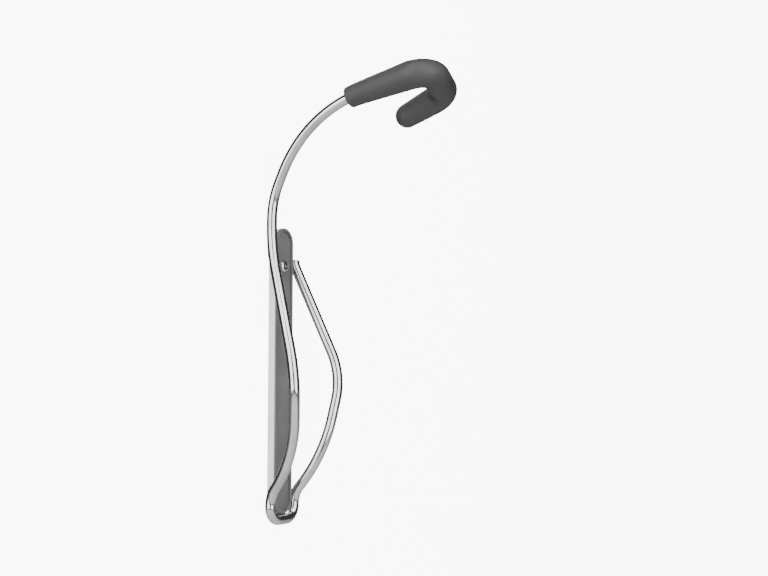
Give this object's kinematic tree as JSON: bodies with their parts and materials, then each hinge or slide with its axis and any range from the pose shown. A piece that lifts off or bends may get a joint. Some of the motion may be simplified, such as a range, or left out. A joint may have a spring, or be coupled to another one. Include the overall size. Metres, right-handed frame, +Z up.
{
  "type": "bicycle wall rack",
  "caption": "Wall rack that hangs a bicycle upright by its front wheel: one bent steel rod forms a sleeved hook and a bowed loop around a narrow screwed-on channel.",
  "frame": {"origin": "on the wall plane at the back of the channel, midway between the two screws", "axes": "+Z up along the channel, +Y into the wall, the rack stands out towards -Y, +X to the side of the hook's free tip"},
  "size_m": [0.061, 0.167, 0.294],
  "materials": {
    "rod_metal": "bright plated steel rod",
    "weld_metal": "plated weld bead",
    "sleeve_rubber": "matte dark grey rubber",
    "channel_metal": "light grey satin paint",
    "strip_plastic": "dark grey soft plastic",
    "screw_steel": "zinc plated"
  },
  "bodies": {
    "root": {"rod_frame": "rod_metal", "hook_sleeve": "sleeve_rubber", "mounting_channel": "channel_metal", "tread_strip": "strip_plastic", "near_weld": "weld_metal", "far_weld": "weld_metal", "lower_weld": "weld_metal", "top_screw": "screw_steel", "bottom_screw": "screw_steel"}
  },
  "joints": []
}
